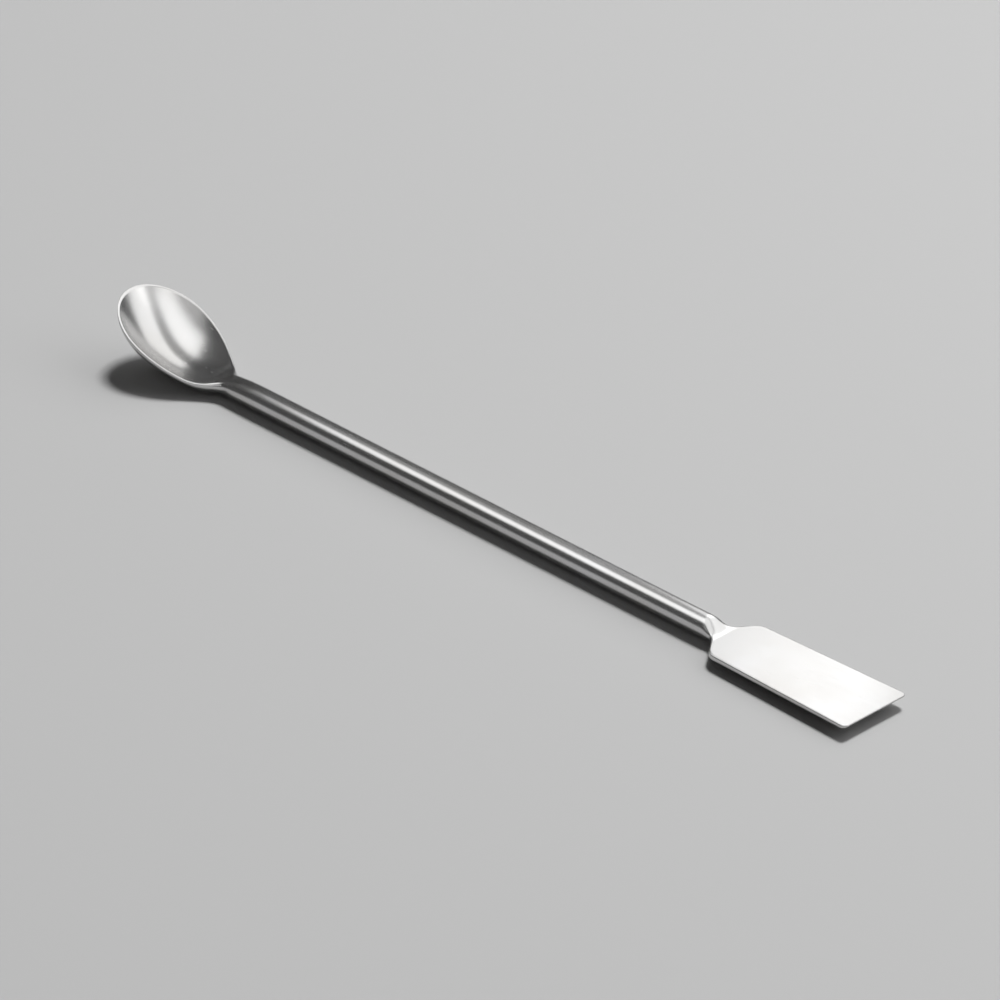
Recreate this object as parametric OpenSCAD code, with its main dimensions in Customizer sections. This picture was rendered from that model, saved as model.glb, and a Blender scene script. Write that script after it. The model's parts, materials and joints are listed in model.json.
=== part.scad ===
// Lab spatula: one length of stainless rod, pressed into an egg-shaped spoon bowl at one end
// and into a flat flared blade at the other. X runs from the bowl to the blade and Z is up.

/* [Rod] */
// Length from the tip of the bowl to the end of the blade
total_length = 200; // [170:1:260]
// Diameter of the round rod
rod_d = 5; // [4:0.1:6]

/* [Bowl] */
// Length of the bowl in plan, from its tip to the sides of the rod
bowl_length = 26.6; // [23:0.1:40]
// Width of the bowl across its rim
bowl_width = 18.8; // [15:0.1:25]
// Distance of the widest place from the tip
bowl_widest = 10.6; // [8:0.1:14]
// Depth of the hollow below the rim
bowl_depth = 6; // [3:0.1:8]
// Thickness of the bowl's wall
bowl_wall = 0.9; // [0.6:0.05:1.4]
// Angle at which the rim rises from the rod
bowl_tilt = 23.8; // [10:0.1:30]
// Distance of the bend from the neck, inside the bowl
bend_inset = 4; // [2:0.1:6]
// Radius of the bend between the rod and the rim
bend_radius = 10; // [5:0.5:20]
// Width over which the bowl's sides blend into the rod
neck_blend = 1.2; // [0.6:0.1:2]
// Length over which the rod thins down to the bowl's wall
neck_length = 10; // [7:0.5:13]

/* [Blade] */
// Length of the blade, from the end of its shoulders to its end
blade_length = 37.5; // [25:0.1:60]
// Width of the blade at its shoulders
shoulder_width = 14.7; // [12:0.1:20]
// Width of the blade at its end
end_width = 17.1; // [12:0.1:24]
// Angle between the rod and the sloping shoulders
shoulder_angle = 53; // [35:1:65]
// Radius of the inner corner between the rod and a shoulder
shoulder_fillet = 2.5; // [1:0.1:3]
// Radius of the outer corner of a shoulder
shoulder_round = 3.5; // [1:0.1:4]
// Radius of the corners at the blade's end
end_round = 1; // [0.4:0.1:3]
// Length over which the round rod is pressed down to the blade
root_length = 4.8; // [3:0.1:8]
// How far before the shoulders the pressing starts
root_lead = 3.3; // [2:0.1:5]
// Height of the blade's upper face above the rod's axis
blade_rise = 0.3; // [0:0.05:0.8]
// Thickness of the blade at its shoulders
shoulder_thick = 1.3; // [1:0.05:1.8]
// Thickness of the blade where its bevel starts
tip_thick = 0.9; // [0.6:0.05:1]
// Thickness of the end edge
edge_thick = 0.4; // [0.2:0.05:0.5]
// Length of the bevel at the end edge
edge_bevel = 1.2; // [0.5:0.1:3]

/* [Hidden] */

steel = [0.76, 0.77, 0.78];
rod_r = rod_d / 2;
bowl_r = bowl_width / 2;
tip_x = -total_length / 2;
end_x = total_length / 2;

// The pressed ends enter the rod this much inside its surface
seam = 0.03;
// Half the height of the thin land all along the rim
rim_land = 0.02;
// How far the pressed ends reach into the rod
overlap = 2;
// Step of the slopes that are taken from a formula
slope_step = 0.01;
// Sections of the bowl from its tip to its widest place, and from there into the rod
tip_sections = 14;
neck_sections = 30;
// Points across each face of a section
face_points = 20;
// Steps in each rounded corner of the blade
corner_steps = 8;
// Steps along the rod's pressed end
nose_steps = 12;
// Facets around the rod
round_facets = 64;

neck_r = rod_r - seam;
// Length in which the sides would close to a point
taper_length = (bowl_length - bowl_widest) / sqrt(1 - rod_r / bowl_r);
bend_at = bowl_length - bend_inset;
bend_blend = bend_radius * tan(bowl_tilt / 2) * tan(bowl_tilt);
// Distance from the tip at which the neck is as thick and as round as the rod
neck_end = bowl_length + neck_blend + overlap / 2;
bowl_end = neck_end + overlap;

shoulder_half = shoulder_width / 2;
end_half = end_width / 2;
// The blade's root is narrow enough to lie inside the rod
root_half = rod_r - shoulder_thick / 4;
shoulder_end_x = end_x - blade_length;
shoulder_start_x = shoulder_end_x - (shoulder_half - root_half) / tan(shoulder_angle);
root_start_x = shoulder_start_x - root_lead;

function square_of(v) = v * v;

function ease(s) =
    let (c = min(max(s, 0), 1))
    c * c * (3 - 2 * c);

// The larger of two values, rounded off where they come within a blend of each other
function smooth_max(a, b, blend) =
    let (near = max(blend - abs(a - b), 0) / blend)
    max(a, b) + near * near * blend / 4;

// Half the bowl's width at a distance from its tip: half an ellipse, then a parabola down to the rod
function half_width(t) =
    t < bowl_widest
        ? bowl_r * sqrt(1 - square_of(1 - t / bowl_widest))
        : smooth_max(bowl_r * (1 - square_of((t - bowl_widest) / taper_length)), neck_r, neck_blend);

// Depth of the hollow along the middle, as a share of its greatest depth
function hollow(t) =
    t < bowl_widest
        ? 1 - square_of(1 - t / bowl_widest)
        : max(square_of(half_width(t)) - square_of(neck_r), 0) / (square_of(bowl_r) - square_of(neck_r));

// Height of the rim above the rod's axis
function rise(t) = smooth_max(tan(bowl_tilt) * (bend_at - t), 0, bend_blend);

// Half the thickness of the metal, from the bowl's wall to the full rod
function half_thick(t) =
    let (wall = bowl_wall / 2)
    wall + (neck_r - wall) * ease((t - neck_end + neck_length) / neck_length);

// Height of the middle of the metal above the rod's axis
function middle(t, y) = rise(t) - bowl_depth * hollow(t) * (1 - square_of(y / half_width(t)));

// Distance from the bowl's outline, seen from above
function inset(t, y) =
    let (w = half_width(t))
    let (lean = (half_width(t + slope_step) - half_width(t)) / slope_step)
    (w * w - y * y) / sqrt(square_of(w + abs(y)) + square_of(2 * w * lean));

// Half the metal's height at a point: even across the wall, with a round rim
function half_height(t, y) =
    let (h = half_thick(t))
    let (d = min(max(inset(t, y), 0), h))
    let (along = (middle(t + slope_step, y) - middle(t, y)) / slope_step)
    let (across = (middle(t, abs(y) - slope_step) - middle(t, abs(y))) / slope_step)
    rim_land + sqrt(d * (2 * h - d)) * sqrt(1 + square_of(along) + square_of(across));

function across_section(t, i) = -half_width(t) * cos(180 * i / face_points);

// Height of the underside, pressed flat where it would come lower than the rod
function underside(t, y) = max(middle(t, y) - half_height(t, y), -rod_r);

// One closed section, over the top face and back along the underside
function section(t) = concat(
    [for (i = [0 : face_points])
        let (y = across_section(t, i))
        [tip_x + t, y, middle(t, y) + half_height(t, y)]],
    [for (i = [face_points : -1 : 0])
        let (y = across_section(t, i))
        [tip_x + t, y, underside(t, y)]]
);

stations = concat(
    [for (i = [1 : tip_sections]) bowl_widest * (1 - cos(90 * i / tip_sections))],
    [for (i = [1 : neck_sections]) bowl_widest + (bowl_end - bowl_widest) * i / neck_sections]
);

// The round rod, pressed down to a nose where the blade begins
module rod() {
    start = tip_x + neck_end;
    length = root_start_x - start;
    nose = [for (i = [0 : nose_steps])
        let (s = i / nose_steps)
        [rod_r * (1 - ease(s)), length + root_length * s]];
    translate([start, 0, 0])
        rotate([0, 90, 0])
            rotate_extrude($fn = round_facets)
                polygon(concat([[0, 0], [rod_r, 0]], nose));
}

// The hollow bowl and its neck, lofted from the tip into the rod
module bowl() {
    loop = 2 * (face_points + 1);
    last = len(stations) - 1;
    rings = [for (t = stations) each section(t)];
    tip = [tip_x, 0, rise(0)];
    sides = [for (s = [0 : last - 1], i = [0 : loop - 1])
        let (a = s * loop + i, b = s * loop + (i + 1) % loop)
        each [[a, b, b + loop], [a, b + loop, a + loop]]];
    tip_fan = [for (i = [0 : loop - 1]) [len(rings), (i + 1) % loop, i]];
    cap = [[for (i = [0 : loop - 1]) last * loop + i]];
    polyhedron(points = concat(rings, [tip]), faces = concat(sides, tip_fan, cap), convexity = 4);
}

// The arc that rounds the corner at b, between a and c
function corner(a, b, c, radius) =
    let (u = (a - b) / norm(a - b), v = (c - b) / norm(c - b))
    let (half_angle = acos(u * v) / 2)
    let (centre = b + (u + v) / norm(u + v) * radius / sin(half_angle))
    let (from = b + u * radius / tan(half_angle) - centre)
    let (to = b + v * radius / tan(half_angle) - centre)
    let (turn = 180 - 2 * half_angle)
    [for (i = [0 : corner_steps])
        let (s = turn * i / corner_steps)
        centre + (from * sin(turn - s) + to * sin(s)) / sin(turn)];

// Outline of one side of the blade, from its root inside the rod to the middle of its end
function blade_side() =
    let (root = [root_start_x - overlap, root_half])
    let (neck = [shoulder_start_x, root_half])
    let (shoulder = [shoulder_end_x, shoulder_half])
    let (tip = [end_x, end_half])
    concat(
        [root],
        corner(root, neck, shoulder, shoulder_fillet),
        corner(neck, shoulder, tip, shoulder_round),
        corner(shoulder, tip, [end_x, 0], end_round)
    );

// The flat blade: its outline from above, cut to its thickness from the side
module blade() {
    side = blade_side();
    mirrored = [for (i = [len(side) - 1 : -1 : 0]) [side[i][0], -side[i][1]]];
    root_x = side[0][0];
    bevel_x = end_x - edge_bevel;
    intersection() {
        translate([0, 0, -rod_r])
            linear_extrude(height = rod_d)
                polygon(concat(side, mirrored));
        rotate([90, 0, 0])
            translate([0, 0, -end_width])
                linear_extrude(height = 2 * end_width)
                    polygon([
                        [root_x, blade_rise],
                        [end_x, blade_rise],
                        [end_x, blade_rise - edge_thick],
                        [bevel_x, blade_rise - tip_thick],
                        [shoulder_end_x, blade_rise - shoulder_thick],
                        [root_x, blade_rise - shoulder_thick]
                    ]);
    }
}

module spatula() {
    color(steel)
        translate([0, 0, rod_r])
            union() {
                rod();
                bowl();
                blade();
            }
}

spatula();
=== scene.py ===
"""Lab spatula: polished steel over its CAD frame, on a pale floor under soft studio light."""

import json
from math import cos, radians, sin, sqrt, tan

import bpy
import numpy as np
from mathutils import Matrix, Vector


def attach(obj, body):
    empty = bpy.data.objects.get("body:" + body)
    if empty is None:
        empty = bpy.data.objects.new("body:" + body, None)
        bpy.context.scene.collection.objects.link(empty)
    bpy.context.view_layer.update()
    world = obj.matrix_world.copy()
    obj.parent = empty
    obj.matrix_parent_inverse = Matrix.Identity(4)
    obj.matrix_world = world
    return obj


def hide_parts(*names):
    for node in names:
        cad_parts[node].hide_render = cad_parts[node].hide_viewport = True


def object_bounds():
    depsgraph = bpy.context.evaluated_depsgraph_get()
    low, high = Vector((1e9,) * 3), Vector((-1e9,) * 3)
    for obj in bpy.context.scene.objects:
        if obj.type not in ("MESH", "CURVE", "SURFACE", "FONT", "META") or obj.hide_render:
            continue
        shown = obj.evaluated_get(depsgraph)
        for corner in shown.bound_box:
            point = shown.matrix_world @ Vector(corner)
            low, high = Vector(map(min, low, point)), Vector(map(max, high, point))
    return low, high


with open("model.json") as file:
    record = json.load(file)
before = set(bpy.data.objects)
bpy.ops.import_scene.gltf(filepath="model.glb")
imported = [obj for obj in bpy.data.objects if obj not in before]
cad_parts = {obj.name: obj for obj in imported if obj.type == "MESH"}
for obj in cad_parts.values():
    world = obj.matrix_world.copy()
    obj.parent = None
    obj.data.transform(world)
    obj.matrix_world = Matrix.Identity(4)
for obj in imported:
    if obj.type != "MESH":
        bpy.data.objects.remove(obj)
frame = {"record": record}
cad_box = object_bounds()
mounts = {mount["name"]: mount for mount in frame["record"]["mounts"]}

MM = 0.001

# Sizes from the frame, in millimetres. The rod lies on the floor, so its axis is one radius up.
tip_x = cad_box[0][0] / MM
end_x = cad_box[1][0] / MM
bowl_r = cad_box[1][1] / MM
rod_r = mounts["rod_grip"]["pos_m"][2] / MM
blade_top = mounts["blade_face"]["pos_m"][2] / MM - rod_r

# The rest of the form, in millimetres and degrees, as the solid has it.
bowl_length = 26.6
bowl_widest = 10.6
bowl_depth = 6.0
bowl_wall = 0.9
bowl_tilt = radians(23.8)
bend_inset = 4.0
bend_radius = 10.0
neck_blend = 1.2
neck_length = 10.0
neck_margin = 1.0
blade_length = 37.5
shoulder_half = 7.35
end_half = 8.55
shoulder_angle = radians(53)
shoulder_fillet = 2.5
shoulder_round = 3.5
end_round = 1.0
root_length = 4.8
root_lead = 3.3
shoulder_thick = 1.3
tip_thick = 0.9
edge_thick = 0.4
edge_bevel = 1.2

# Small forms that only the finished surface has, in millimetres.
# Rounding of the blade's edges, and the largest share of the thickness that it takes
edge_radius = 0.4
edge_share = 0.3
# How far the pressing of the root starts early and ends late
root_soft = 0.3
# Width over which the sides of the rod blend into the shoulders
root_blend = 1.2
# Half the height of the metal along its thinnest edge
rim_land = 0.02
# Height of the flat on the bowl's rim, and how fast it leaves the metal as the neck thickens
rim_flat = 0.30
rim_lift = 1.5
# How far past the neck its underside and its upper face become as high as the rod
neck_soft = 2.2
neck_dip = 7.0

# Fineness of the mesh: intervals across a face, and sections along each stretch.
face_steps = 96
tip_sections = 48
bowl_sections = 80
rod_sections = 40
root_sections = 72
blade_sections = 34
bevel_sections = 14
corner_steps = 24
# Step of the slopes that are taken from a formula
slope_step = 0.01

# Sizes that follow from these. Places along the piece are distances from the bowl's tip.
total_length = end_x - tip_x
taper_length = (bowl_length - bowl_widest) / sqrt(1 - rod_r / bowl_r)
bend_at = bowl_length - bend_inset
bend_blend = bend_radius * tan(bowl_tilt / 2) * tan(bowl_tilt)
neck_end = bowl_length + neck_blend + neck_margin
root_half = rod_r - shoulder_thick / 4
shoulder_end = total_length - blade_length
shoulder_start = shoulder_end - (shoulder_half - root_half) / tan(shoulder_angle)
root_start = shoulder_start - root_lead
neck_half = rod_r - root_blend
neck_start = shoulder_end - (shoulder_half - neck_half) / tan(shoulder_angle)
bevel_start = total_length - edge_bevel

# Polished steel: two close tones, and the roughness between its least and its greatest.
steel_tones = [(0.3, (0.555, 0.547, 0.535)), (0.7, (0.61, 0.61, 0.612))]
steel_roughness = (0.23, 0.29)
# Noises: stretch along the axes, scale and detail
tone_noise = ((1, 1, 1), 60.0, 3.0)
line_noise = ((0.04, 1, 1), 4200.0, 2.0)
wave_noise = ((0.5, 1, 1), 260.0, 1.0)
# Bumps: strength, and height in metres
line_bump = (0.02, 0.02 * MM)
wave_bump = (0.06, 0.15 * MM)

# The floor and the room, in metres and shares of white.
floor_half = 6.0
floor_gap = 0.05 * MM
floor_grey = 0.45
floor_roughness = 0.9
floor_gloss = 0.1
room_grey = 0.07

# Softboxes: the middle, the point that it faces, the width and height, in metres, and brightness.
# The reflectors show in the steel and don't light the floor. The first four make the photograph's
# reflections, and the last three keep the blade bright from the other sides.
reflectors = {
    "top_light": ((-0.051, -0.0325, 0.09), (-0.051, -0.0325, 0.0), (0.142, 0.067), 1.25),
    "fill_light": ((0.014, -0.0025, 0.095), (0.014, -0.0025, 0.0), (0.272, 0.127), 0.35),
    "blade_light": ((0.020, 0.060, 0.052), (0.020, 0.0, 0.0), (0.052, 0.055), 0.82),
    "root_light": ((0.058, -0.008, 0.050), (0.058, -0.008, 0.0), (0.050, 0.045), 0.9),
    "front_light": ((0.1, -1.0, 0.55), (0.1, 0.0, 0.0), (0.8, 0.6), 0.6),
    "corner_light": ((0.75, -0.75, 0.40), (0.0, 0.0, 0.0), (0.9, 0.6), 0.7),
    "right_light": ((1.0, 0.0, 0.55), (0.0, 0.0, 0.0), (0.8, 0.6), 0.35),
}
back_light = ((0.405, 0.40, 0.385), (0.405, 0.0, 0.10), (1.49, 0.45), 1.4)
# The sun makes the shadow: its strength, its breadth and where it stands.
sun_energy = 3.15
sun_angle = radians(14)
sun_direction = (-0.20, 0.52, 0.90)

# The camera, at the photograph's angle. Its lens is long, because the photograph shows hardly
# any perspective.
photo_pixels = 1000
pixels_per_mm = 5.215
origin_pixel = (500.4, 532.3)
camera_azimuth = radians(44.4)
camera_elevation = radians(31.2)
camera_distance = 8.0


def soft_ease(s):
    """From 0 to 1, with a level and unbent start and end."""
    c = np.clip(s, 0, 1)
    return c ** 3 * (10 - 15 * c + 6 * c * c)


def smooth_max(a, b, blend):
    """The larger of two values, rounded off where they come within a blend of each other."""
    near = np.maximum(blend - np.abs(a - b), 0) / blend
    return np.maximum(a, b) + near * near * blend / 4


# The bowl, its neck and the rod, by the distance t from the bowl's tip.

def half_width(t):
    """Half the width: half an ellipse at the tip, then a parabola down to the rod."""
    tip = bowl_r * np.sqrt(np.maximum(1 - (1 - t / bowl_widest) ** 2, 0))
    parabola = bowl_r * (1 - ((t - bowl_widest) / taper_length) ** 2)
    return np.where(t < bowl_widest, tip, smooth_max(parabola, rod_r, neck_blend))


def hollow(t):
    """Depth of the hollow along the middle, as a share of its greatest depth."""
    taper = np.maximum(half_width(t) ** 2 - rod_r ** 2, 0) / (bowl_r ** 2 - rod_r ** 2)
    return np.where(t < bowl_widest, 1 - (1 - t / bowl_widest) ** 2, taper)


def rise(t):
    """Height of the rim above the rod's axis."""
    return smooth_max(tan(bowl_tilt) * (bend_at - t), 0, bend_blend)


def half_thick(t, soft):
    """Half the thickness of the metal, from the bowl's wall to the full rod past the neck."""
    wall = bowl_wall / 2
    share = soft_ease((t - neck_end + neck_length) / (neck_length + soft))
    return wall + (rod_r - wall) * share


def middle(t, y):
    """Height of the middle of the metal above the rod's axis."""
    return rise(t) - bowl_depth * hollow(t) * (1 - (y / half_width(t)) ** 2)


def inset(t, y):
    """Distance from the bowl's outline, seen from above."""
    w = half_width(t)
    lean = (half_width(t + slope_step) - w) / slope_step
    return (w * w - y * y) / np.sqrt((w + np.abs(y)) ** 2 + (2 * w * lean) ** 2)


def half_height(t, y, soft):
    """Half the metal's height at a point: even across the wall, with a round rim."""
    h = half_thick(t, soft)
    d = np.clip(inset(t, y), 0, h)
    along = (middle(t + slope_step, y) - middle(t, y)) / slope_step
    across = (middle(t, np.abs(y) - slope_step) - middle(t, np.abs(y))) / slope_step
    steepness = np.sqrt(1 + along ** 2 + across ** 2)
    return np.maximum(np.sqrt(d * (2 * h - d)) * steepness, rim_land)


def rim_height(t):
    """Height of the flat ground on the rim; where the neck thickens, it lies above the metal."""
    return rise(t) + rim_flat + rim_lift * (half_thick(t, neck_dip) - bowl_wall / 2)


# The blade and its pressed root, by the same distance t.

def corner(a, b, c, radius):
    """Points of the arc that rounds the corner at b, between a and c."""
    u = (a - b) / np.linalg.norm(a - b)
    v = (c - b) / np.linalg.norm(c - b)
    half = np.arccos(np.dot(u, v)) / 2
    centre = b + (u + v) / np.linalg.norm(u + v) * radius / np.sin(half)
    start = b + u * radius / np.tan(half) - centre
    stop = b + v * radius / np.tan(half) - centre
    turn = np.pi - 2 * half
    steps = np.linspace(0, turn, corner_steps)
    return [centre + (start * np.sin(turn - s) + stop * np.sin(s)) / np.sin(turn) for s in steps]


def blade_outline():
    """One side of the blade, from its root inside the rod to the corner at its end."""
    root = np.array([0.0, neck_half])
    neck = np.array([neck_start, neck_half])
    shoulder = np.array([shoulder_end, shoulder_half])
    tip = np.array([total_length, end_half])
    return np.array(
        [root]
        + corner(root, neck, shoulder, shoulder_fillet)
        + corner(neck, shoulder, tip, shoulder_round)
        + corner(shoulder, tip, np.array([total_length, 0.0]), end_round)
    )


outline = blade_outline()


def blade_half(t):
    """Half the width, from the sides of the rod to the corners of the blade's end."""
    return smooth_max(np.interp(t, outline[:, 0], outline[:, 1]), rod_r, root_blend)


def blade_bottom(t):
    """Height of the blade's underside: it thins towards the end and is bevelled there."""
    places = [shoulder_end, bevel_start, total_length]
    return blade_top - np.interp(t, places, [shoulder_thick, tip_thick, edge_thick])


def edge_drop(t, y):
    """How far a face drops at the blade's rounded edges."""
    w = blade_half(t)
    lean = (w - blade_half(t - slope_step)) / slope_step
    d = np.minimum((w - np.abs(y)) / np.sqrt(1 + lean ** 2), total_length - t)
    e = np.minimum(edge_radius, edge_share * (blade_top - blade_bottom(t)))
    return e - np.sqrt(e ** 2 - (e - np.clip(d, 0, e)) ** 2)


def press(t):
    """How far the rod is pressed flat, from 0 to 1, with a soft start and end."""
    return soft_ease((t - root_start + root_soft) / (root_length + 2 * root_soft))


def blade_faces(t, y):
    """Heights of the upper and the lower face: round at the rod, pressed flat at the blade."""
    pressed = press(t)
    arch = np.sqrt(np.maximum(1 - (y / blade_half(t)) ** 2, 0))
    drop = edge_drop(t, y) * pressed
    top = blade_top * pressed + (rod_r * (1 - pressed)) * arch - drop
    bottom = blade_bottom(t) * pressed - (rod_r * (1 - pressed)) * arch + drop
    return np.maximum(top, bottom + 2 * rim_land), bottom


def sections():
    """The stations along the piece, and the points over the top and the underside of each."""
    tip = bowl_widest * (1 - np.cos(np.linspace(0, np.pi / 2, tip_sections + 1)[1:]))
    bowl = np.linspace(bowl_widest, neck_end, bowl_sections + 1)[1:]
    rod = np.linspace(neck_end, root_start - root_soft, rod_sections + 1)[1:]
    root = np.linspace(rod[-1], shoulder_end + shoulder_round, root_sections + 1)[1:]
    blade = np.linspace(root[-1], bevel_start - end_round, blade_sections + 1)[1:]
    closing = np.sin(np.linspace(0, np.pi / 2, bevel_sections + 1)[1:])
    bevel = blade[-1] + (total_length - blade[-1]) * closing
    across = -np.cos(np.linspace(0, np.pi, face_steps + 1))[None]

    spoon_t = np.concatenate([tip, bowl, rod])[:, None]
    spoon_y = half_width(spoon_t) * across
    lift = middle(spoon_t, spoon_y)
    above = half_height(spoon_t, spoon_y, neck_dip)
    below = half_height(spoon_t, spoon_y, neck_soft)

    blade_t = np.concatenate([root, blade, bevel])[:, None]
    blade_y = blade_half(blade_t) * across
    top, bottom = blade_faces(blade_t, blade_y)

    t = np.concatenate([spoon_t, blade_t])
    y = np.concatenate([spoon_y, blade_y])
    upper = np.concatenate([np.minimum(lift + above, rim_height(spoon_t)), top])
    lower = np.concatenate([np.maximum(lift - below, -rod_r), bottom])
    return t, y, upper, lower


def spatula_mesh():
    """One closed mesh: rings from the bowl to the blade, a fan at the tip and a cap at the end."""
    t, y, upper, lower = sections()
    x = np.broadcast_to(tip_x + t, y.shape)
    over = np.stack([x, y, upper + rod_r], axis=-1)
    under = np.stack([x, y, lower + rod_r], axis=-1)[:, ::-1]
    rings = np.concatenate([over, under], axis=1)
    count, loop = rings.shape[:2]
    tip_vertex = count * loop
    points = [tuple(p) for p in rings.reshape(-1, 3) * MM]
    points.append((tip_x * MM, 0.0, (float(rise(0.0)) + rod_r) * MM))

    faces = []
    for s in range(count - 1):
        for i in range(loop):
            a, b = s * loop + i, s * loop + (i + 1) % loop
            faces.append((a, a + loop, b + loop, b))
    faces += [(tip_vertex, i, (i + 1) % loop) for i in range(loop)]
    last = (count - 1) * loop
    for i in range(face_steps):
        faces.append((last + i, last + loop - 1 - i, last + loop - 2 - i, last + i + 1))

    mesh = bpy.data.meshes.new("spatula_steel")
    mesh.from_pydata(points, [], faces)
    mesh.validate()
    mesh.shade_smooth()
    return mesh


# Materials.

def new_material(name):
    material = bpy.data.materials.new(name)
    material.use_nodes = True
    return material, material.node_tree.nodes, material.node_tree.links


def steel_material():
    """Polished stainless steel, with faint lines along the rod and a soft wave in the polish."""
    material, nodes, links = new_material("polished_steel")
    shader = nodes["Principled BSDF"]
    shader.inputs["Metallic"].default_value = 1.0

    place = nodes.new("ShaderNodeTexCoord")

    def noise(stretch, scale, detail):
        mapping = nodes.new("ShaderNodeMapping")
        mapping.inputs["Scale"].default_value = stretch
        links.new(place.outputs["Object"], mapping.inputs["Vector"])
        texture = nodes.new("ShaderNodeTexNoise")
        texture.inputs["Scale"].default_value = scale
        texture.inputs["Detail"].default_value = detail
        links.new(mapping.outputs["Vector"], texture.inputs["Vector"])
        return texture.outputs["Fac"]

    def bump(height, strength, distance):
        node = nodes.new("ShaderNodeBump")
        node.inputs["Strength"].default_value = strength
        node.inputs["Distance"].default_value = distance
        links.new(height, node.inputs["Height"])
        return node

    lines = noise(*line_noise)

    tones = nodes.new("ShaderNodeValToRGB")
    for element, (position, colour) in zip(tones.color_ramp.elements, steel_tones):
        element.position = position
        element.color = (*colour, 1)
    links.new(noise(*tone_noise), tones.inputs["Fac"])
    links.new(tones.outputs["Color"], shader.inputs["Base Color"])

    rough = nodes.new("ShaderNodeMapRange")
    rough.inputs["To Min"].default_value, rough.inputs["To Max"].default_value = steel_roughness
    links.new(lines, rough.inputs["Value"])
    links.new(rough.outputs["Result"], shader.inputs["Roughness"])

    fine = bump(lines, *line_bump)
    soft = bump(noise(*wave_noise), *wave_bump)
    links.new(fine.outputs["Normal"], soft.inputs["Normal"])
    links.new(soft.outputs["Normal"], shader.inputs["Normal"])
    return material


def floor_material():
    material, nodes, _ = new_material("pale_floor")
    shader = nodes["Principled BSDF"]
    shader.inputs["Base Color"].default_value = (floor_grey, floor_grey, floor_grey, 1)
    shader.inputs["Roughness"].default_value = floor_roughness
    shader.inputs["Specular IOR Level"].default_value = floor_gloss
    return material


def add(name, data):
    """A new object in the scene."""
    made = bpy.data.objects.new(name, data)
    bpy.context.scene.collection.objects.link(made)
    return made


# The piece.

spatula = add("spatula_steel", spatula_mesh())
spatula.data.materials.append(steel_material())
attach(spatula, "root")
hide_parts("spatula")

# The stage.

floor_corners = ((-1, -1), (1, -1), (1, 1), (-1, 1))
floor_mesh = bpy.data.meshes.new("floor")
floor_mesh.from_pydata(
    [(sx * floor_half, sy * floor_half, -floor_gap) for sx, sy in floor_corners],
    [], [(0, 1, 2, 3)])
floor = add("floor", floor_mesh)
floor_mesh.materials.append(floor_material())


def facing(direction):
    """The rotation of a lamp that shines in a direction."""
    return direction.to_track_quat("-Z", "Y").to_euler()


def softbox(name, place, target, size, radiance):
    """A rectangular soft light. Its energy follows its size, so its own brightness is as given."""
    light = bpy.data.lights.new(name, "AREA")
    light.shape = "RECTANGLE"
    light.size, light.size_y = size
    light.energy = radiance * np.pi * size[0] * size[1]
    lamp = add(name, light)
    lamp.location = place
    lamp.rotation_euler = facing(Vector(target) - Vector(place))
    lamp.visible_camera = False
    return lamp


for name, setting in reflectors.items():
    softbox(name, *setting).visible_diffuse = False
softbox("back_light", *back_light)

sun = bpy.data.lights.new("key_light", "SUN")
sun.energy = sun_energy
sun.angle = sun_angle
key = add("key_light", sun)
key.rotation_euler = facing(-Vector(sun_direction))
key.visible_glossy = False

world = bpy.data.worlds.new("studio")
world.use_nodes = True
room = world.node_tree.nodes["Background"]
room.inputs["Color"].default_value = (room_grey, room_grey, room_grey, 1)
bpy.context.scene.world = world

# The camera: its axes, and the point that it aims at so that the frame's origin falls on its pixel.

right = Vector((cos(camera_azimuth), sin(camera_azimuth), 0))
back = Vector((
    sin(camera_azimuth) * cos(camera_elevation),
    -cos(camera_azimuth) * cos(camera_elevation),
    sin(camera_elevation),
))
up = back.cross(right)
pixels_right = origin_pixel[0] - photo_pixels / 2
pixels_down = origin_pixel[1] - photo_pixels / 2
aim = (up * pixels_down - right * pixels_right) / pixels_per_mm * MM
view_width = photo_pixels / pixels_per_mm * MM

camera_data = bpy.data.cameras.new("camera")
camera_data.lens = camera_data.sensor_width * camera_distance / view_width
camera = add("camera", camera_data)
camera_turn = Matrix((right, up, back)).transposed().to_4x4()
camera.matrix_world = Matrix.Translation(aim + back * camera_distance) @ camera_turn
bpy.context.scene.camera = camera
bpy.context.scene.view_settings.view_transform = "Standard"
